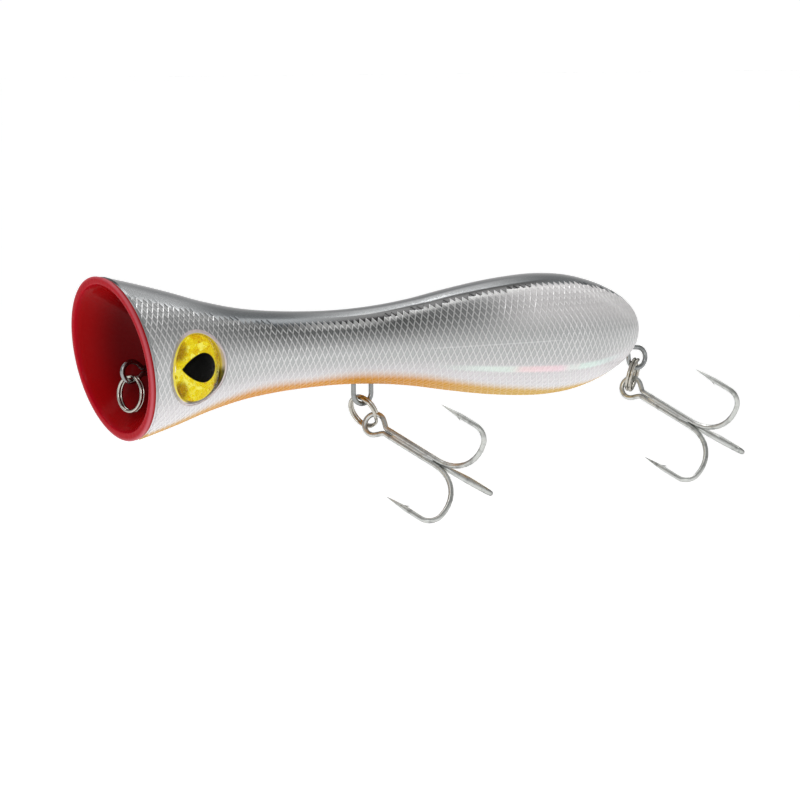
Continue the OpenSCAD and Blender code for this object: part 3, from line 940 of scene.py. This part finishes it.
for side, hand in (("left", 1), ("right", -1)):
    gold = Finish(f"gold_foil_{side}", Metallic=0.85)
    spot = gold.node("Mapping", Vector=gold.place(), Scale=(1000, 1000 * hand, 1000))
    middle = Matrix.Translation((-7, 0, 3.2)) @ EYE_AXES
    flat = gold.node(
        "Mapping", {"vector_type": "TEXTURE"},
        Vector=spot, Location=tuple(middle.to_translation()), Rotation=tuple(middle.to_euler()),
    )
    across, up, _ = gold.parts(flat)
    facet = gold.node("TexVoronoi", {"feature": "F1"}, out=1, Vector=flat, Scale=0.42)
    glint = gold.node("TexVoronoi", {"feature": "F1"}, out=1, Vector=flat, Scale=1.0)
    tone, _, _ = gold.parts(facet)
    spark, _, _ = gold.parts(glint)
    colour = gold.node(
        "ValToRGB",
        {"stops": [(0.0, (0.26, 0.10, 0.0)), (0.2, (0.60, 0.32, 0.0)), (0.45, (0.74, 0.55, 0.003)),
                   (0.7, (0.80, 0.66, 0.006)), (1.0, (0.95, 0.90, 0.16))]},
        Fac=tone * 0.5 + spark * 0.35 + 0.2,
    )
    # Amber clouds at the edge, above and below on the nose side
    corner_high = ((across + 6.2) ** 2 + (up - 5.6) ** 2).math("SQRT").rise(4.6, 1.8)
    corner_low = ((across + 5.6) ** 2 + (up + 7.0) ** 2).math("SQRT").rise(4.2, 1.6)
    cloud = (corner_high + corner_low).math("MINIMUM", 1.0)
    colour = gold.blend(cloud * (0.55 + tone * 0.45), colour, (0.20, 0.07, 0.0))
    # Painted reflections of the dome: a painted highlight on the nose side with a dark painted reflection
    # under it
    painted_glare = ((across + 8.0) ** 2 * 1.6 + (up - 0.4) ** 2 * 0.35).math("SQRT").rise(1.15, 0.7)
    painted_dark_reflection = ((across + 8.6) ** 2 * 0.4 + (up + 2.4) ** 2 * 1.4).math("SQRT").rise(1.2, 0.5)
    colour = gold.blend(painted_dark_reflection, gold.blend(painted_glare, colour, (0.95, 0.95, 0.9)), (0.02, 0.01, 0.0))
    gold.set("Base_Color", colour)
    gold.set("Roughness", 0.18 + spark * 0.2)
    gold.bump(tone * 0.6 + spark * 0.4, 0.25, 0.0004)
    gold.on(bpy.data.objects[f"eye_foil_{side}"])

ink = Finish("black_print", Base_Color=(0.002, 0.002, 0.002), Specular_IOR_Level=0.0)
ink.set("Roughness", 0.6 + ink.noise(800, 2) * 0.15)
ink.on(*pupils)

resin = Finish("clear_resin", Base_Color=(1.0, 1.0, 1.0), Metallic=1.0)
resin.set("Roughness", 0.02 + resin.noise(300, 2) * 0.02)
see_through = resin.tree.nodes.new("ShaderNodeBsdfTransparent")
see_through.inputs[0].default_value = (1.0, 0.995, 0.97, 1)
layer = resin.tree.nodes.new("ShaderNodeMixShader")
facing = resin.node("LayerWeight", out=1, Blend=0.5)
inside = resin.node("NewGeometry", out=6)
resin.feed(layer.inputs[0], (facing**5 * 0.9 + 0.004) * (1 - inside))
resin.tree.links.new(see_through.outputs[0], layer.inputs[1])
resin.tree.links.new(resin.shader.outputs[0], layer.inputs[2])
resin.tree.links.new(layer.outputs[0], resin.tree.nodes["Material Output"].inputs[0])
resin.on(*domes)

# ---- Ballast and rattle ----
# A plain cast slug in the tail and three hard balls, each loose in its own cell.
# All are shut inside, so only their metals are given here.
bare_metal("cast_slug", (0.25, 0.25, 0.27), 0.45, 0.6, 0.5).on(bpy.data.objects["tail_weight"])
balls = [bpy.data.objects[f"rattle_ball_{place}"] for place in ("front", "middle", "rear")]
bare_metal("rattle_steel", (0.55, 0.56, 0.58), 0.12, 0.3, 0.05).on(*balls)

# ---- Studio ----
# A wide pale floor in a pale surround. The surround is brightest overhead behind the lure,
# dimmer high on the viewer's side, as a strip light and its hood would leave it.
start_piece()
bpy.ops.mesh.primitive_plane_add(size=60, location=(0.1, 0, -0.2))
floor = bpy.context.object
floor.name = "floor"
pale = Finish("pale_floor", Base_Color=(0.93, 0.93, 0.93), Emission_Color=(1, 1, 1), Emission_Strength=0.42)
pale.set("Roughness", 0.8 + pale.noise(8, 2) * 0.1)
pale.on(floor)


def softbox(name, place, width, height, power):
    """A soft rectangular lamp turned to face the middle of the lure."""
    start_piece()
    turned = (Vector(place) - Vector((0.09, 0, 0))).to_track_quat("Z", "Y").to_euler()
    bpy.ops.object.light_add(type="AREA", location=place, rotation=turned)
    lamp = bpy.context.object
    lamp.name = name
    lamp.data.shape = "RECTANGLE"
    lamp.data.size = width
    lamp.data.size_y = height
    lamp.data.energy = power


softbox("strip", (0.05, 0.42, 0.80), 0.75, 0.16, 3.2)
softbox("front", (-0.75, -0.85, 0.35), 0.35, 0.35, 1.4)

world = bpy.data.worlds.new("surround")
bpy.context.scene.world = world
world.use_nodes = True
sky = Mixer(world.node_tree)
background = sky.tree.nodes["Background"]
_, toward_back, height = sky.parts(sky.node("TexCoord", out=0))
arc = height.math("ARCTAN2", toward_back * -1) * (180 / math.pi)
# Round from the viewer's side, over the top, to the far side
glow = [(0.0, 1.0), (0.1, 0.9), (0.3, 0.5), (0.42, 0.32), (0.5, 0.32), (0.6, 0.5), (0.8, 0.4), (1.0, 0.7)]
light = sky.node("ValToRGB", {"stops": glow}, Fac=arc / 180)
strip = arc.rise(90, 98) * arc.rise(118, 108)
light = strip * 1.7 + light
seen = sky.node("LightPath", out=0)
sky.feed(background.inputs[0], sky.blend(seen, light, (1.2, 1.2, 1.2)))
background.inputs[1].default_value = 0.85
